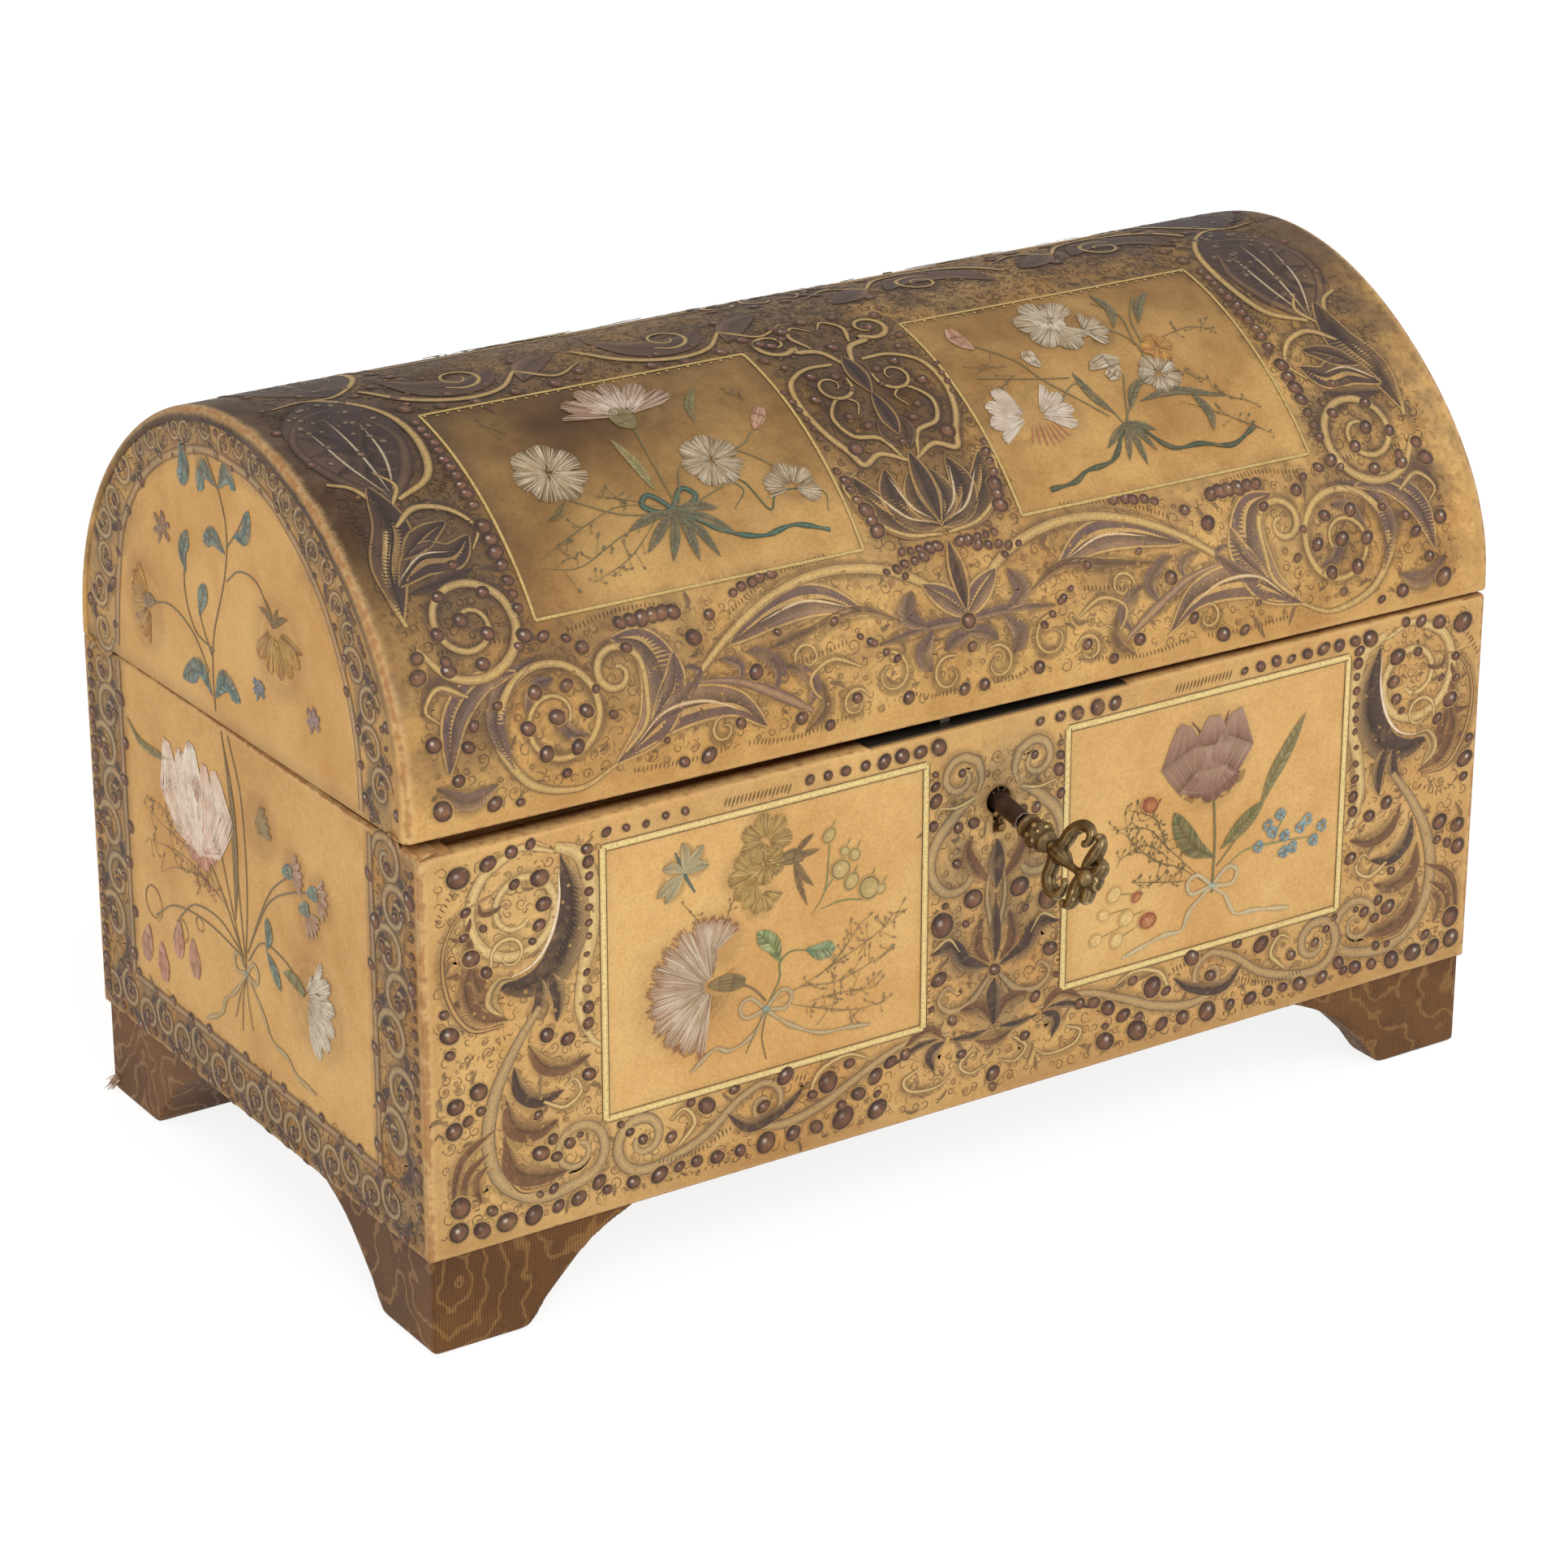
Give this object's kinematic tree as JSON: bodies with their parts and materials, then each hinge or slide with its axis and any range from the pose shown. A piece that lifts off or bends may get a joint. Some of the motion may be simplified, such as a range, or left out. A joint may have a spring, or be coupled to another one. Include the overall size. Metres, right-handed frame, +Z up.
{
  "type": "domed casket",
  "caption": "Domed casket of thin boards covered in painted parchment, on bracket feet, with a mortised lock, its key and stop hinges.",
  "frame": {"origin": "middle of the bounding box's footprint, on the surface that the feet stand on", "axes": "+X to the viewer's right along the box's length, -Y out of the front where the key is, +Z up"},
  "size_m": [0.282, 0.1942, 0.187],
  "materials": {
    "wood": "bare thin boards",
    "parchment": "aged painted parchment, faint gloss",
    "lid_parchment": "darkened painted parchment, faint gloss",
    "silk": "brown silk on pasteboard",
    "brocade": "ribbed golden-brown brocade",
    "iron": "dark forged iron",
    "brass": "dull brass",
    "bronze": "worn cast brass",
    "steel": "dark smooth steel"
  },
  "bodies": {
    "case": {"bottom_board": "wood", "front_board": "wood", "back_board": "wood", "left_board": "wood", "right_board": "wood", "body_parchment_front": "parchment", "body_parchment_back": "parchment", "body_parchment_left": "parchment", "body_parchment_right": "parchment", "lining_floor": "silk", "lining_front": "silk", "lining_back": "silk", "lining_left": "silk", "lining_right": "silk", "foot_core_front_left": "wood", "foot_core_front_right": "wood", "foot_core_back_left": "wood", "foot_core_back_right": "wood", "foot_cover_front_left": "brocade", "foot_cover_front_right": "brocade", "foot_cover_back_left": "brocade", "foot_cover_back_right": "brocade", "hinge_left_body_leaf": "brass", "hinge_left_pin": "iron", "hinge_left_body_screw_1": "iron", "hinge_left_body_screw_2": "iron", "hinge_right_body_leaf": "brass", "hinge_right_pin": "iron", "hinge_right_body_screw_1": "iron", "hinge_right_body_screw_2": "iron", "lock_plate": "iron", "lock_screw_1": "iron", "lock_screw_2": "iron", "lock_screw_3": "iron", "lock_screw_4": "iron", "key_post": "iron", "lock_spring": "steel"},
    "lid": {"lid_parchment_dome": "lid_parchment", "lid_parchment_left": "lid_parchment", "lid_parchment_right": "lid_parchment", "lid_rail_front": "wood", "lid_rail_back": "wood", "lid_dome_board": "wood", "lid_end_board_left": "wood", "lid_end_board_right": "wood", "lid_lining_dome": "silk", "lid_lining_left": "silk", "lid_lining_right": "silk", "hinge_left_lid_leaf": "brass", "hinge_left_lid_screw_1": "iron", "hinge_left_lid_screw_2": "iron", "hinge_right_lid_leaf": "brass", "hinge_right_lid_screw_1": "iron", "hinge_right_lid_screw_2": "iron", "strike_plate": "iron", "strike_screw_1": "iron", "strike_screw_2": "iron"},
    "bolt": {"lock_bolt": "iron"},
    "key": {"key_shank": "steel", "key_bow": "bronze"}
  },
  "joints": [
    {"name": "lid_hinge", "type": "hinge", "parent": "case", "child": "lid", "pos_m": [0.0004, 0.0947, 0.1141], "axis": [-1, 0, 0], "range_deg": [0, 100]},
    {"name": "key_turn", "type": "hinge", "parent": "case", "child": "key", "pos_m": [0.0037, -0.0598, 0.0944], "axis": [0, -0.9816, -0.1908], "range_deg": [0, 50]},
    {"name": "bolt_slide", "type": "slide", "parent": "case", "child": "bolt", "axis": [-1, 0, 0], "range_m": [0, 0.00592]}
  ],
  "couplings": [
    {"joint": "bolt_slide", "follows": "key_turn", "m_per_rad": 0.00678}
  ]
}
